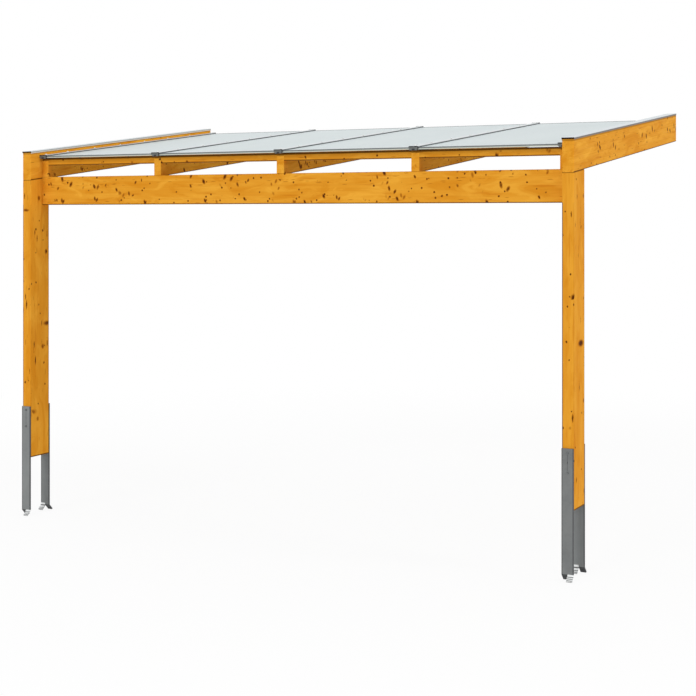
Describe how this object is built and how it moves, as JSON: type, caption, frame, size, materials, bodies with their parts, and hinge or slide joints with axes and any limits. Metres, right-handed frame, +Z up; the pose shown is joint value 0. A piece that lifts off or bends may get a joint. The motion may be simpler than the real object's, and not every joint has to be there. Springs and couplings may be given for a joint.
{
  "type": "attached patio cover",
  "caption": "Wall-attached patio cover: stained glulam posts on steel brackets, front and side beams, and a sloping roof of opal sheets under aluminium glazing bars.",
  "frame": {"origin": "centre of the wall ledger's back face, which lies against the house wall", "axes": "+X along the wall to the right as seen from the garden, +Y into the wall, +Z up"},
  "size_m": [4.505, 2.6349, 3.1644],
  "materials": {
    "stained_timber": "orange-brown stained glulam, planed",
    "bracket_steel": "grey primed steel, satin",
    "aluminium": "mill-finish extrusion, satin",
    "cover_sheet": "folded sheet, satin",
    "cap_plastic": "dark grey moulding",
    "rubber_seal": "dark grey profile",
    "roof_sheet": "opal multiwall sheet, glossy"
  },
  "bodies": {
    "root": {"bar_front_caps": "cap_plastic", "bar_lips": "rubber_seal", "bar_wall_caps": "cap_plastic", "bracket_left_front": "bracket_steel", "bracket_left_rear": "bracket_steel", "bracket_right_front": "bracket_steel", "bracket_right_rear": "bracket_steel", "cover_cap_left": "cap_plastic", "cover_cap_right": "cap_plastic", "eave_batten_1": "stained_timber", "eave_batten_2": "stained_timber", "eave_batten_3": "stained_timber", "eave_batten_4": "stained_timber", "edge_strip_1": "aluminium", "edge_strip_2": "aluminium", "edge_strip_3": "aluminium", "edge_strip_4": "aluminium", "front_beam": "stained_timber", "glazing_bar_1": "aluminium", "glazing_bar_2": "aluminium", "glazing_bar_3": "aluminium", "glazing_bar_4": "aluminium", "glazing_bar_5": "aluminium", "post_left": "stained_timber", "post_right": "stained_timber", "rafter_1": "stained_timber", "rafter_2": "stained_timber", "rafter_3": "stained_timber", "rafter_4": "stained_timber", "rafter_5": "stained_timber", "rafter_gaskets": "rubber_seal", "roof_panel_1": "roof_sheet", "roof_panel_2": "roof_sheet", "roof_panel_3": "roof_sheet", "roof_panel_4": "roof_sheet", "side_beam_left": "stained_timber", "side_beam_right": "stained_timber", "side_cover_left": "cover_sheet", "side_cover_right": "cover_sheet", "wall_gaskets": "rubber_seal", "wall_ledger": "stained_timber", "wall_strips": "aluminium"}
  },
  "joints": []
}
